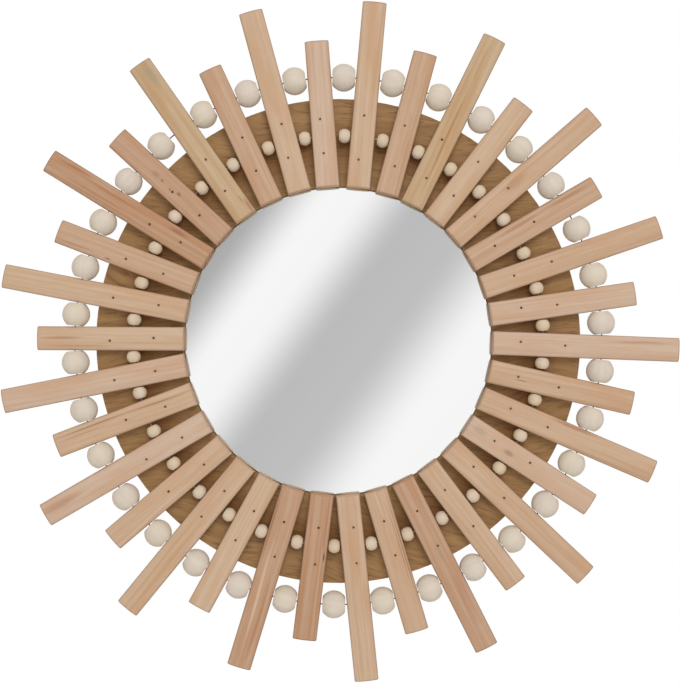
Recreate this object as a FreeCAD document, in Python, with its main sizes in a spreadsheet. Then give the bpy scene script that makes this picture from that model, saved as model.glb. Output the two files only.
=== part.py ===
"""Sunburst wall mirror, modelled in millimetres with +Z up.

A round glass lies in a recess in the front of a stained wooden board, on double-sided pads.
Long and short wooden slats stand round it in turn, glued and nailed to the board, and reach
past its edge like rays. Two wire rings run through cross holes in the slats, and each carries
one turned wooden bead in every space between two slats: a large bead outside the board and a
small one over it. The board hangs on two rings, which lie in pockets in its back.

The origin is the centre of the board's back face, which rests on the wall. The mirror faces -Y,
and +X is to the right of someone who looks into it. Slats and spaces are counted clockwise in
that view, from the slat that points right.
"""
import FreeCAD
import Part
import Sketcher

import math
import os

Vector = FreeCAD.Vector
Rotation = FreeCAD.Rotation
Placement = FreeCAD.Placement

X_AXIS = Vector(1, 0, 0)
Y_AXIS = Vector(0, 1, 0)
Z_AXIS = Vector(0, 0, 1)

# The points of a sketch's edge, as its constraints name them
START = 1
END = 2
CENTRE = 3

FULL_TURN = 360
TOUCH = 0.001  # closer than this, two places are one

# Driving dimensions in millimetres, except where a line says degrees or a count
SIZES = {
    # Glass and its pads
    "glass_diameter": 320,
    "glass_thickness": 4,
    "glass_arris": 0.5,
    "glass_edge_clearance": 0.4,
    "pad_diameter": 36,
    "pad_thickness": 1,
    "pad_edge_distance": 55,
    # Board, which reaches past the slats' inner ends
    "board_reach": 92.2,
    "board_thickness": 12,
    # Slats
    "slat_count": 34,  # a count
    "slat_lap": 0.7,
    "slat_end_gap": 4.84,
    "long_slat_length": 190.7,
    "short_slat_length": 149.5,
    "slat_thickness": 15,
    "slat_crown_rise": 1.8,
    "slat_front_round": 3,
    "slat_back_round": 0.8,
    "slat_pivot_inset": 137.7,
    "first_slat_turn": 1,  # degrees
    "slat_side_scatter": 5.18,
    "slat_lean_scatter": 1.75,  # degrees
    # Wires
    "inner_wire_inset": 52.3,
    "wire_thickness": 1.2,
    "wire_height": 7.7,
    "wire_end_gap": 1.5,
    "wire_hole_clearance": 0.4,
    # Beads
    "large_bead_diameter": 28,
    "large_bead_play": 2.23,
    "large_bead_round": 3.5,
    "large_bead_board_gap": 6.3,
    "small_bead_diameter": 14.5,
    "small_bead_play": 3,
    "small_bead_round": 1.2,
    "bead_bore_clearance": 0.35,
    "bead_side_clearance": 0.15,
    # Brads
    "brad_diameter": 1.2,
    "brad_head_diameter": 2,
    "brad_head_thickness": 0.8,
    "brad_length": 19,
    "brad_set_depth": 1.6,
    "brad_fit": 0.05,
    "outer_brad_margin": 20.5,
    "inner_brad_inset": 31.3,
    "brad_side_scatter": 2.5,
    "brad_radial_scatter": 4,
    # Hangers, in pockets in the board's back
    "hanger_edge_distance": 36.7,
    "hanger_rise": 24.8,  # degrees
    "hanger_pocket_width": 27,
    "hanger_pocket_depth": 4.5,
    "hanger_pocket_margin": 3,
    "hanger_pocket_round": 6,
    "strap_width": 10,
    "strap_length": 40,
    "strap_thickness": 0.9,
    "strap_end_round": 4.5,
    "ring_wire_thickness": 2,
    "ring_inner_width": 14,
    "ring_drop": 13.5,
    "ring_corner_round": 2.5,
    "ring_clearance": 0.15,
    "screw_diameter": 3.2,
    "screw_length": 7,
    "screw_head_diameter": 6.4,
    "screw_head_height": 1.8,
    "screw_head_round": 1,
    "screw_fit": 0.05,
    "first_screw_drop": 20,
    "second_screw_drop": 33,
}

# Dimensions that follow from those: the slats end on the glass's edge, and the rest stands off
# them. A bead is as wide as the space between two slats, less its play.
FOLLOWING = {
    "pad_ring_diameter": "glass_diameter - 2 * pad_edge_distance",
    "slat_inner_radius": "glass_diameter / 2 - slat_lap",
    "slat_width": "2 * pi * slat_inner_radius / slat_count - slat_end_gap",
    "slat_pivot_radius": "slat_inner_radius + slat_pivot_inset",
    "slat_turn_scatter": "slat_side_scatter / slat_pivot_radius * 180 / pi",
    "board_diameter": "2 * (slat_inner_radius + board_reach)",
    "inner_brad_radius": "slat_inner_radius + inner_brad_inset",
    "outer_brad_radius": "board_diameter / 2 - outer_brad_margin",
    "inner_wire_radius": "slat_inner_radius + inner_wire_inset",
    "outer_wire_radius": "(board_diameter + large_bead_diameter) / 2 + large_bead_board_gap",
    "small_bead_width": (
        "2 * pi * inner_wire_radius / slat_count - slat_width - small_bead_play"
    ),
    "large_bead_width": (
        "2 * pi * outer_wire_radius / slat_count - slat_width - large_bead_play"
    ),
    "hanger_spacing": "(board_diameter - 2 * hanger_edge_distance) * cos(hanger_rise)",
    "hanger_height": "(board_diameter / 2 - hanger_edge_distance) * sin(hanger_rise)",
}

# How far each slat is off its even place, clockwise, as a share of slat_side_scatter
SLAT_TURN_shares = [
    0.4, 0.35, 0.3, 0.25, 0.15, -0.05, -0.2, -0.25, -0.3, 0.15, 0.1, 0.1,
    0.05, -0.05, -0.1, -0.25, -0.45, -0.45, -0.55, -0.7, -0.75, -0.8, 0.2, 0.15,
    0, 0.15, 0.05, 0.05, 0.05, 0, 0, -0.05, 0.55, 0.45,
]
# How far each slat leans off its own radius, clockwise, as a share of slat_lean_scatter
SLAT_LEAN_shares = [
    0.45, 0.45, 0.45, -0.05, -0.1, -0.5, -0.6, -0.75, -0.7, 0.3, 0, 0.6,
    0.75, 0.6, 0.4, -0.3, -0.7, -0.15, -0.05, -0.3, -0.15, 0.1, 0.55, 0.25,
    -0.2, -0.15, -0.7, -1, -0.65, -0.25, 0.2, 0.3, 0.45, 0.5,
]
# Where each bead lies in its space, clockwise, as a share of its free play
LARGE_BEAD_SLIDE_shares = [
    -0.5, 0.3, -0.2, -0.8, -0.3, -0.2, 0, 0.4, 0, 0.1, -0.9, -0.7,
    -0.8, -0.3, -0.1, -0.8, 0.2, 0, -0.6, 0.4, -0.1, -1, -0.9, -0.4,
    -0.6, 0.2, 0.8, 0.6, -0.5, 0.3, 0.3, 0.4, -0.4, 0.1,
]
SMALL_BEAD_SLIDE_shares = [
    -0.4, -1, -0.4, -0.3, 0.2, 0.6, 0.6, 0.2, 0.5, 0, -0.9, -1,
    -0.9, -0.4, -0.8, 0.8, 0.3, 0.6, 0.2, 0.2, 0.3, 0.3, 0.2, 0.5,
    0, 0.8, 0.6, 0.9, 0.5, -0.1, -0.1, 0.3, -0.9, -0.6,
]
# Where the brads sit off their even places, as shares of their scatter. These lists repeat.
BRAD_SIDE_shares = [0, -0.9, 0.3, -0.3, 0.2, -0.8, -1, -0.6, -0.2, -0.9, -0.4]
BRAD_RADIAL_shares = [0.4, -0.9, 0, -0.6, 0.3, -0.2, 0.5, -0.1, 0.8, -0.3, 1, -0.7, 0.6]

# Lengths that follow from the sheet, as expressions over it
SLAT_SIDE_HEIGHT = "(Sizes.slat_thickness - Sizes.slat_crown_rise)"
SLAT_CROWN_RADIUS = (
    "(((Sizes.slat_width / 2)^2 + Sizes.slat_crown_rise^2) / (2 * Sizes.slat_crown_rise))"
)
RECESS_DIAMETER = "(Sizes.glass_diameter + 2 * Sizes.glass_edge_clearance)"
RECESS_DEPTH = "(Sizes.glass_thickness + Sizes.pad_thickness)"
WIRE_HOLE_DIAMETER = "(Sizes.wire_thickness + 2 * Sizes.wire_hole_clearance)"
BEAD_BORE_RADIUS = "(Sizes.wire_thickness / 2 + Sizes.bead_bore_clearance)"
BRAD_HOLE_DIAMETER = "(Sizes.brad_diameter + 2 * Sizes.brad_fit)"
BRAD_HEAD_HOLE_DIAMETER = "(Sizes.brad_head_diameter + 2 * Sizes.brad_fit)"
BRAD_SEAT_HEIGHT = (
    "(Sizes.slat_thickness - Sizes.brad_set_depth - Sizes.brad_head_thickness)"
)
CURL_BORE_RADIUS = "(Sizes.ring_wire_thickness / 2 + Sizes.ring_clearance)"
CURL_RADIUS = f"({CURL_BORE_RADIUS} + Sizes.strap_thickness)"
RING_HALF_WIDTH = "((Sizes.ring_inner_width + Sizes.ring_wire_thickness) / 2)"
RING_REACH = "(Sizes.ring_drop + Sizes.ring_wire_thickness / 2)"
BRAD_REACH = "(Sizes.brad_length + Sizes.brad_set_depth - Sizes.slat_thickness)"
SCREW_REACH = "(Sizes.screw_length - Sizes.strap_thickness)"

# The two hangers, by the sign of their X, and how far each screw lies below the ring's axis
SIDES = {"left": -1, "right": 1}
SCREW_DROPS = ["Sizes.first_screw_drop", "Sizes.second_screw_drop"]

RINGS = ["outer", "inner"]
PAD_RING_COUNT = 6

doc = FreeCAD.newDocument("SunburstMirror")
sheet = doc.addObject("Spreadsheet::Sheet", "Sizes")
cells = {alias: str(value) for alias, value in SIZES.items()}
cells.update((alias, f"={formula}") for alias, formula in FOLLOWING.items())
for row, (alias, content) in enumerate(cells.items(), start=1):
    sheet.set(f"A{row}", alias)
    sheet.set(f"B{row}", content)
    sheet.setAlias(f"B{row}", alias)
doc.recompute()
slat_count = int(sheet.get("slat_count"))


def size(expression):
    """The present value of an expression over the sheet's dimensions."""
    return float(sheet.evalExpression(expression))


def bind(thing, **expressions):
    """Ties an object's properties to expressions over the sheet."""
    for name, expression in expressions.items():
        thing.setExpression(name, expression)


# Sketches and features


def new_body(label):
    """An empty body with the given name."""
    body = doc.addObject("PartDesign::Body", label)
    body.Label = label
    return body


def new_sketch(body, name, role, height=None, offset=None):
    """A sketch on one of the body's own planes, at a bound height over it or at a fixed offset."""
    sketch = body.newObject("Sketcher::SketchObject", name)
    plane = [p for p in body.Origin.OriginFeatures if p.Role == role][0]
    sketch.AttachmentSupport = (plane, [""])
    sketch.MapMode = "FlatFace"
    if offset is not None:
        sketch.AttachmentOffset = offset
    if height is not None:
        sketch.setExpression("AttachmentOffset.Base.z", height)
    return sketch


def constrain(sketch, kind, *members, to=None):
    """Adds a constraint and, where its last member is a value, ties that to an expression."""
    if to is not None:
        members = (*members, size(to))
    index = sketch.addConstraint(Sketcher.Constraint(kind, *members))
    if to is not None:
        sketch.setExpression(f"Constraints[{index}]", to)


def place_point(sketch, edge, point, x, y):
    """Ties one point of an edge to two expressions, its x and y in the sketch."""
    constrain(sketch, "DistanceX", -1, 1, edge, point, to=x)
    constrain(sketch, "DistanceY", -1, 1, edge, point, to=y)


def add_circle(sketch, diameter, x="0", y="0"):
    """A full circle whose diameter and centre are expressions."""
    circle = Part.Circle(Vector(size(x), size(y)), Vector(0, 0, 1), size(diameter) / 2)
    edge = sketch.addGeometry(circle, False)
    constrain(sketch, "Diameter", edge, to=diameter)
    place_point(sketch, edge, CENTRE, x, y)


def add_outline(sketch, corners, arcs=None):
    """A closed outline, anticlockwise through corners given as pairs of expressions.

    arcs gives the radius, an expression, of each edge that bulges outwards, by its number.
    """
    arcs = arcs or {}
    points = [Vector(size(x), size(y)) for x, y in corners]
    edges = []
    for number, start in enumerate(points):
        end = points[(number + 1) % len(points)]
        if number in arcs:
            chord = end - start
            radius = size(arcs[number])
            inwards = Vector(-chord.y, chord.x) / chord.Length
            depth = math.sqrt(radius**2 - (chord.Length / 2) ** 2)
            centre = (start + end) / 2 + inwards * depth
            first = math.atan2(start.y - centre.y, start.x - centre.x)
            last = math.atan2(end.y - centre.y, end.x - centre.x)
            edge = Part.ArcOfCircle(Part.Circle(centre, Z_AXIS, radius), first, last)
        else:
            edge = Part.LineSegment(start, end)
        edges.append(sketch.addGeometry(edge, False))
    for number, (edge, (x, y)) in enumerate(zip(edges, corners)):
        constrain(sketch, "Coincident", edges[number - 1], END, edge, START)
        place_point(sketch, edge, START, x, y)
        if number in arcs:
            constrain(sketch, "Radius", edge, to=arcs[number])


def pad(body, name, sketch, length, **settings):
    """Material that stands on a sketch."""
    feature = body.newObject("PartDesign::Pad", name)
    feature.Profile = sketch
    feature.setExpression("Length", length)
    return finish_feature(feature, settings)


def pocket(body, name, sketch, length=None, **settings):
    """A cut of the given depth, or right through, which has to take some material away."""
    before = body.Tip.Shape.Volume
    feature = body.newObject("PartDesign::Pocket", name)
    feature.Profile = sketch
    if length is None:
        feature.Type = "ThroughAll"
    else:
        feature.setExpression("Length", length)
    finish_feature(feature, settings)
    if not feature.Shape.Volume < before:
        raise RuntimeError(f"{body.Label}: {name} cuts nothing")
    return feature


def dress(body, name, kind, edges, **expressions):
    """A fillet or chamfer on edges of the body's last feature, picked by a test."""
    base = body.Tip
    names = [f"Edge{n}" for n, edge in enumerate(base.Shape.Edges, start=1) if edges(edge)]
    feature = body.newObject(kind, name)
    feature.Base = (base, names)
    bind(feature, **expressions)
    return finish_feature(feature, {})


def finish_feature(feature, settings):
    """Sets a feature's plain properties and brings the model up to date."""
    for name, value in settings.items():
        setattr(feature, name, value)
    doc.recompute()
    return feature


def group(label, members):
    """Several separate solids of one kind, kept together under one name."""
    compound = doc.addObject("Part::Compound", label)
    compound.Label = label
    compound.Links = members
    return compound


# Edges to round, picked by where they are


def ends_at(**places):
    """A test for edges whose two ends share these coordinates, each with either sign."""
    def picked(edge):
        for axis, place in places.items():
            found = [getattr(end, axis) for end in edge.Vertexes]
            if max(found) - min(found) > TOUCH or abs(abs(found[0]) - place) > TOUCH:
                return False
        return True

    return picked


def is_round(edge):
    """A test for full circles and arcs."""
    return isinstance(edge.Curve, Part.Circle)


# Places round the ring


def slat_turn(number):
    """A slat's clockwise angle from +X, in degrees, where it crosses its pivot radius."""
    even = number % slat_count * FULL_TURN / slat_count
    scatter = size("Sizes.slat_turn_scatter") * share(SLAT_TURN_shares, number)
    return size("Sizes.first_slat_turn") + even + scatter


def share(shares, number):
    """A list's share for a slat, space or brad. A list that is too short repeats."""
    return shares[number % len(shares)]


def slat_facing(number):
    """The clockwise angle from +X, in degrees, of a slat's own length."""
    lean = size("Sizes.slat_lean_scatter") * share(SLAT_LEAN_shares, number)
    return slat_turn(number) + lean


def slat_placement(number):
    """Where a slat drawn along X, with its back on z = 0, stands on the board's front."""
    facing = Rotation(Y_AXIS, slat_facing(number)) * Rotation(X_AXIS, 90)
    pivot = X_AXIS * size("Sizes.slat_pivot_radius")
    front = Vector(0, -size("Sizes.board_thickness"), 0)
    place = front + Rotation(Y_AXIS, slat_turn(number)).multVec(pivot)
    return Placement(place - facing.multVec(pivot), facing)


def mirror_axis(number):
    """Where the mirror's axis meets the board's front, in a slat's own frame."""
    front = Vector(0, -size("Sizes.board_thickness"), 0)
    return slat_placement(number).inverse().multVec(front)


def crossing_skew(number, radius):
    """How far off square, in radians, a ring round the mirror's axis crosses a slat."""
    return math.asin(-mirror_axis(number).y / radius)


def along(angle, length):
    """A vector in a slat's own plane, at an angle in radians from its length."""
    return Vector(math.cos(angle), math.sin(angle), 0) * length


def sagitta(radius, width):
    """How far a ring bows away from its chord over a width."""
    return radius - math.sqrt(radius**2 - (width / 2) ** 2)


def bead_stop(number, side, kind, out):
    """The clockwise angle, in radians, at which a bead comes up against a slat.

    side is 1 for a bead clockwise of the slat and -1 for one before it. What touches is the
    bead's rounded rim, on the side nearer the mirror, because the slats draw together there.
    """
    rim = size(f"Sizes.{kind}_bead_round")
    level = size(f"Sizes.{kind}_bead_width / 2") - rim
    reach = math.sqrt((size(f"Sizes.{kind}_bead_diameter / 2") - rim) ** 2 - level**2)
    away = size("Sizes.slat_width / 2 + Sizes.bead_side_clearance") + rim
    away += side * mirror_axis(number).y
    span = math.hypot(out - reach, level)
    past = math.atan2(level, out - reach) + math.asin(away / span)
    return math.radians(slat_facing(number)) + side * past


def bead_placement(space, kind, ring, shares):
    """Where a bead drawn round Z is threaded on its ring, between two slats."""
    radius = size(f"Sizes.{ring}_wire_radius")
    out = radius - sagitta(radius, size(f"Sizes.{kind}_bead_width")) / 2
    first = bead_stop(space, 1, kind, out)
    room = (bead_stop(space + 1, -1, kind, out) - first + math.pi) % math.tau - math.pi
    turn = first + room / 2 + share(shares, space) * room / 2
    heading = Rotation(Y_AXIS, math.degrees(turn))
    centre = heading.multVec(X_AXIS * out) + Vector(0, wire_level(), 0)
    return Placement(centre, heading)


def wire_level():
    """The wires' place along Y."""
    return -size("Sizes.board_thickness + Sizes.wire_height")


def brad_places(number):
    """The expressions for a slat's two brads, in its own frame, whose Y runs anticlockwise."""
    places = []
    for order, ring in enumerate(RINGS):
        brad = len(RINGS) * number + order
        out = share(BRAD_RADIAL_shares, brad)
        side = share(BRAD_SIDE_shares, brad)
        x = f"(Sizes.{ring}_brad_radius + {out} * Sizes.brad_radial_scatter)"
        places.append((x, f"(-({side} * Sizes.brad_side_scatter))"))
    return places


def board_place(number, x, y):
    """The expressions, over the board's X and Z, for a place in a slat's own frame."""
    even = f"{number} * {FULL_TURN} / Sizes.slat_count"
    scatter = f"{share(SLAT_TURN_shares, number)} * Sizes.slat_turn_scatter"
    turn = f"(Sizes.first_slat_turn + {even} + {scatter})"
    facing = f"({turn} + {share(SLAT_LEAN_shares, number)} * Sizes.slat_lean_scatter)"
    pivot = "Sizes.slat_pivot_radius"
    return (
        f"{pivot} * cos({turn}) + ({x} - {pivot}) * cos({facing}) + {y} * sin({facing})",
        f"{y} * cos({facing}) - {pivot} * sin({turn}) - ({x} - {pivot}) * sin({facing})",
    )


# The board, the glass and its pads


def make_board():
    """The board: a disc with a recess for the glass, brad holes, and pockets in its back."""
    body = new_body("backing_board")
    disc = new_sketch(body, "board_circle", "XZ_Plane")
    add_circle(disc, "Sizes.board_diameter")
    pad(body, "board_disc", disc, "Sizes.board_thickness")

    recess = new_sketch(body, "recess_circle", "XZ_Plane", height="Sizes.board_thickness")
    add_circle(recess, RECESS_DIAMETER)
    pocket(body, "glass_recess", recess, RECESS_DEPTH)

    nailing = new_sketch(body, "brad_circles", "XZ_Plane", height="Sizes.board_thickness")
    for number in range(slat_count):
        for x, y in brad_places(number):
            add_circle(nailing, BRAD_HOLE_DIAMETER, *board_place(number, x, y))
    pocket(body, "brad_holes", nailing, f"{BRAD_REACH} + Sizes.brad_fit")

    for side, sign in SIDES.items():
        cut_hanger_pocket(body, side, f"{sign} * Sizes.hanger_spacing / 2")
    return body


def cut_hanger_pocket(body, side, middle):
    """A round-cornered pocket for one hanger, and the pilot holes of its screws."""
    left = f"{middle} - Sizes.hanger_pocket_width / 2"
    right = f"{middle} + Sizes.hanger_pocket_width / 2"
    top = f"Sizes.hanger_height + {RING_REACH} + Sizes.hanger_pocket_margin"
    bottom = "Sizes.hanger_height - Sizes.strap_length - Sizes.hanger_pocket_margin"
    corners = [(left, bottom), (right, bottom), (right, top), (left, top)]
    outline = new_sketch(body, f"{side}_pocket_outline", "XZ_Plane")
    add_outline(outline, corners)
    pocket(body, f"{side}_pocket", outline, "Sizes.hanger_pocket_depth", Reversed=True)

    places = [Vector(size(x), 0, size(z)) for x, z in corners]
    dress(
        body,
        f"{side}_pocket_corners",
        "PartDesign::Fillet",
        lambda edge: any(stands_over(edge, place) for place in places),
        Radius="Sizes.hanger_pocket_round",
    )

    pilots = new_sketch(body, f"{side}_pilot_circles", "XZ_Plane")
    for drop in SCREW_DROPS:
        add_circle(
            pilots,
            "Sizes.screw_diameter + 2 * Sizes.screw_fit",
            middle,
            f"Sizes.hanger_height - {drop}",
        )
    depth = f"Sizes.hanger_pocket_depth + {SCREW_REACH} + Sizes.screw_fit"
    pocket(body, f"{side}_pilots", pilots, depth, Reversed=True)


def stands_over(edge, place):
    """A test for edges that run along Y over a place."""
    return all(math.hypot(v.X - place.x, v.Z - place.z) < TOUCH for v in edge.Vertexes)


def make_glass():
    """The mirror glass: a disc with ground edges, silvered on its back."""
    body = new_body("mirror_glass")
    height = "Sizes.board_thickness - Sizes.glass_thickness"
    outline = new_sketch(body, "glass_circle", "XZ_Plane", height=height)
    add_circle(outline, "Sizes.glass_diameter")
    pad(body, "glass_disc", outline, "Sizes.glass_thickness")
    dress(body, "glass_arris", "PartDesign::Chamfer", is_round, Size="Sizes.glass_arris")
    return body


def make_pads():
    """The double-sided pads under the glass: one in the middle and a ring of six."""
    pads = []
    for number in range(1 + PAD_RING_COUNT):
        disc = doc.addObject("Part::Cylinder", f"mirror_pad_{number}")
        bind(disc, Radius="Sizes.pad_diameter / 2", Height="Sizes.pad_thickness")
        out = size("Sizes.pad_ring_diameter / 2") if number else 0
        spoke = Rotation(Y_AXIS, number * FULL_TURN / PAD_RING_COUNT).multVec(X_AXIS * out)
        back = Vector(0, -size("Sizes.board_thickness - Sizes.glass_thickness"), 0)
        disc.Placement = Placement(back + spoke, Rotation(X_AXIS, -90))
        pads.append(disc)
    return group("mirror_pads", pads)


# The slats and their brads


def make_slat(kind, number):
    """One slat: a flat back, square sides and a crowned front, drilled for wires and brads."""
    label = f"{kind}_slat_{number + 1:02d}"
    body = new_body(label)
    body.Placement = slat_placement(number)
    section = new_sketch(body, f"{label}_section", "YZ_Plane", height="Sizes.slat_inner_radius")
    half = "Sizes.slat_width / 2"
    corners = [
        (f"-{half}", "0"),
        (half, "0"),
        (half, SLAT_SIDE_HEIGHT),
        (f"-{half}", SLAT_SIDE_HEIGHT),
    ]
    add_outline(section, corners, arcs={2: SLAT_CROWN_RADIUS})
    pad(body, f"{label}_bar", section, f"Sizes.{kind}_slat_length")
    for face, height in (("front", SLAT_SIDE_HEIGHT), ("back", "0")):
        edges = ends_at(Y=size(half), Z=size(height))
        radius = f"Sizes.slat_{face}_round"
        dress(body, f"{label}_{face}_round", "PartDesign::Fillet", edges, Radius=radius)
    drill_for_wires(body, number)
    drill_for_brads(body, number)
    return body


def drill_for_wires(body, number):
    """A cross hole for each wire, square to the wire and centred on its bow."""
    for ring in RINGS:
        radius = size(f"Sizes.{ring}_wire_radius")
        skew = crossing_skew(number, radius)
        bow = sagitta(radius, size("Sizes.slat_width"))
        place = mirror_axis(number) + along(skew, radius - bow / 2)
        offset = Placement(
            Vector(place.x, 0, -place.y), Rotation(Y_AXIS, math.degrees(skew))
        )
        name = f"{body.Label}_{ring}_wire"
        circle = new_sketch(body, f"{name}_circle", "XZ_Plane", offset=offset)
        add_circle(circle, WIRE_HOLE_DIAMETER, y="Sizes.wire_height")
        pocket(body, f"{name}_hole", circle, Midplane=True)


def drill_for_brads(body, number):
    """Two brad holes: the shank's right through, and the head's, punched in from the front."""
    shanks = new_sketch(body, f"{body.Label}_shank_circles", "XY_Plane")
    heads = new_sketch(
        body, f"{body.Label}_head_circles", "XY_Plane", height="Sizes.slat_thickness"
    )
    for x, y in brad_places(number):
        add_circle(shanks, BRAD_HOLE_DIAMETER, x, y)
        add_circle(heads, BRAD_HEAD_HOLE_DIAMETER, x, y)
    pocket(body, f"{body.Label}_shank_holes", shanks, Reversed=True)
    depth = "Sizes.brad_set_depth + Sizes.brad_head_thickness"
    pocket(body, f"{body.Label}_head_holes", heads, depth)


def make_slats():
    """All the slats, long and short in turn, as one group of each kind."""
    slats = {"long": [], "short": []}
    for number in range(slat_count):
        kind = "short" if number % 2 else "long"
        slats[kind].append(make_slat(kind, number))
    return [group(f"{kind}_slats", members) for kind, members in slats.items()]


def make_brads():
    """One headed brad, drawn once round Z and copied to its two places in every slat."""
    brad = new_body("brad")
    profile = new_sketch(brad, "brad_profile", "XZ_Plane")
    tip = "-Sizes.brad_length"
    shank = "Sizes.brad_diameter / 2"
    under = "-Sizes.brad_head_thickness"
    head = "Sizes.brad_head_diameter / 2"
    shoulder = f"{tip} + Sizes.brad_diameter"
    add_outline(
        profile,
        [("0", tip), (shank, shoulder), (shank, under), (head, under), (head, "0"), ("0", "0")],
    )
    turn_round(brad, "brad_turning", profile)
    places = []
    for number in range(slat_count):
        for x, y in brad_places(number):
            height = size("Sizes.slat_thickness - Sizes.brad_set_depth")
            spot = Placement(Vector(size(x), size(y), height), Rotation())
            places.append(slat_placement(number) * spot)
    return copies("brads", brad, places)


def turn_round(body, name, profile):
    """A profile turned right round its sketch's upright axis."""
    feature = body.newObject("PartDesign::Revolution", name)
    feature.Profile = profile
    feature.ReferenceAxis = (profile, ["V_Axis"])
    feature.Angle = FULL_TURN
    return finish_feature(feature, {})


def copies(label, master, places):
    """Linked copies of one piece at several places, kept together under one name."""
    links = []
    for number, place in enumerate(places, start=1):
        link = doc.addObject("App::Link", f"{label}_{number:02d}")
        link.LinkedObject = master
        link.Placement = place
        links.append(link)
    return group(label, links)


# The wires and the beads on them


def make_wire(ring):
    """One wire ring. Its two ends meet in the cross hole of the first slat."""
    radius = f"Sizes.{ring}_wire_radius"
    gap = f"Sizes.wire_end_gap / {radius} * {FULL_TURN} / (2 * pi)"
    wire = doc.addObject("Part::Torus", f"{ring}_wire")
    wire.Label = f"{ring}_wire"
    bind(wire, Radius1=radius, Radius2="Sizes.wire_thickness / 2", Angle3=f"{FULL_TURN} - {gap}")
    crossing = slat_facing(0) - math.degrees(crossing_skew(0, size(radius)))
    ends = crossing - size(gap) / 2
    wire.Placement = Placement(
        Vector(0, wire_level(), 0), Rotation(Y_AXIS, ends) * Rotation(X_AXIS, 90)
    )
    return wire


def make_bead(label, kind):
    """One bead, round Z: a ball with flat ends, rounded into them, and a bore for the wire."""
    body = new_body(label)
    profile = new_sketch(body, f"{label}_profile", "XZ_Plane")
    end = f"Sizes.{kind}_bead_width / 2"
    flat = f"sqrt((Sizes.{kind}_bead_diameter / 2)^2 - ({end})^2)"
    corners = [
        (BEAD_BORE_RADIUS, f"-{end}"),
        (flat, f"-{end}"),
        (flat, end),
        (BEAD_BORE_RADIUS, end),
    ]
    add_outline(profile, corners, arcs={1: f"Sizes.{kind}_bead_diameter / 2"})
    turn_round(body, f"{label}_turning", profile)
    rims = ends_at(Z=size(end), X=size(flat))
    radius = f"Sizes.{kind}_bead_round"
    dress(body, f"{label}_rims", "PartDesign::Fillet", rims, Radius=radius)
    return body


def make_large_beads():
    """The large beads, each a piece of its own that turns on the outer wire."""
    beads = []
    for space in range(slat_count):
        bead = make_bead(f"large_bead_{space + 1:02d}", "large")
        bead.Placement = bead_placement(space, "large", "outer", LARGE_BEAD_SLIDE_shares)
        beads.append(bead)
    return beads


def make_small_beads():
    """The small beads on the inner wire, drawn once and copied to every space."""
    places = [
        bead_placement(space, "small", "inner", SMALL_BEAD_SLIDE_shares)
        for space in range(slat_count)
    ]
    return copies("small_beads", make_bead("small_bead", "small"), places)


# The hangers


def hanger_axis(sign):
    """The middle of a hang ring's bar, about which the ring swings."""
    depth = -size("Sizes.hanger_pocket_depth") + size(CURL_RADIUS)
    return Vector(sign * size("Sizes.hanger_spacing / 2"), depth, size("Sizes.hanger_height"))


def make_strap(side, sign):
    """The strap that holds a hang ring: a strip curled round the ring's bar, with screw holes."""
    label = f"hanger_strap_{side}"
    body = new_body(label)
    body.Placement.Base = hanger_axis(sign)
    profile = new_sketch(body, f"{label}_profile", "YZ_Plane")
    face = f"-{CURL_RADIUS} + Sizes.strap_thickness"
    meeting = f"-sqrt({CURL_RADIUS}^2 - ({face})^2)"
    corners = [
        (f"-{CURL_RADIUS}", "-Sizes.strap_length"),
        (face, "-Sizes.strap_length"),
        (face, meeting),
        ("0", f"-{CURL_RADIUS}"),
        (CURL_RADIUS, "0"),
        ("0", CURL_RADIUS),
        (f"-{CURL_RADIUS}", "0"),
    ]
    add_outline(profile, corners, arcs={number: CURL_RADIUS for number in (2, 3, 4, 5)})
    add_circle(profile, f"2 * {CURL_BORE_RADIUS}")
    pad(body, f"{label}_strip", profile, "Sizes.strap_width", Midplane=True)
    corners = ends_at(X=size("Sizes.strap_width / 2"), Z=size("Sizes.strap_length"))
    radius = "Sizes.strap_end_round"
    dress(body, f"{label}_end", "PartDesign::Fillet", corners, Radius=radius)
    holes = new_sketch(body, f"{label}_hole_circles", "XZ_Plane")
    for drop in SCREW_DROPS:
        add_circle(holes, "Sizes.screw_diameter + 2 * Sizes.screw_fit", y=f"-{drop}")
    pocket(body, f"{label}_holes", holes, Midplane=True)
    return body


def make_hang_ring(side, sign):
    """A D-shaped ring of round wire. It hangs from its straight bar, and lies in its pocket."""
    label = f"hang_ring_{side}"
    body = new_body(label)
    body.Placement.Base = hanger_axis(sign)
    spine = new_sketch(body, f"{label}_spine", "XZ_Plane")
    half = RING_HALF_WIDTH
    corner = "Sizes.ring_corner_round"
    straight = f"-(Sizes.ring_drop - {half})"
    corners = [
        ("0", "0"),
        (f"-({half} - {corner})", "0"),
        (f"-{half}", f"-{corner}"),
        (f"-{half}", straight),
        ("0", "-Sizes.ring_drop"),
        (half, straight),
        (half, f"-{corner}"),
        (f"{half} - {corner}", "0"),
    ]
    add_outline(spine, corners, arcs={1: corner, 3: half, 4: half, 6: corner})
    section = new_sketch(body, f"{label}_section", "YZ_Plane")
    add_circle(section, "Sizes.ring_wire_thickness")
    pipe = body.newObject("PartDesign::AdditivePipe", f"{label}_wire")
    pipe.Profile = section
    pipe.Spine = (spine, [])
    finish_feature(pipe, {})
    return body


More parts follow.
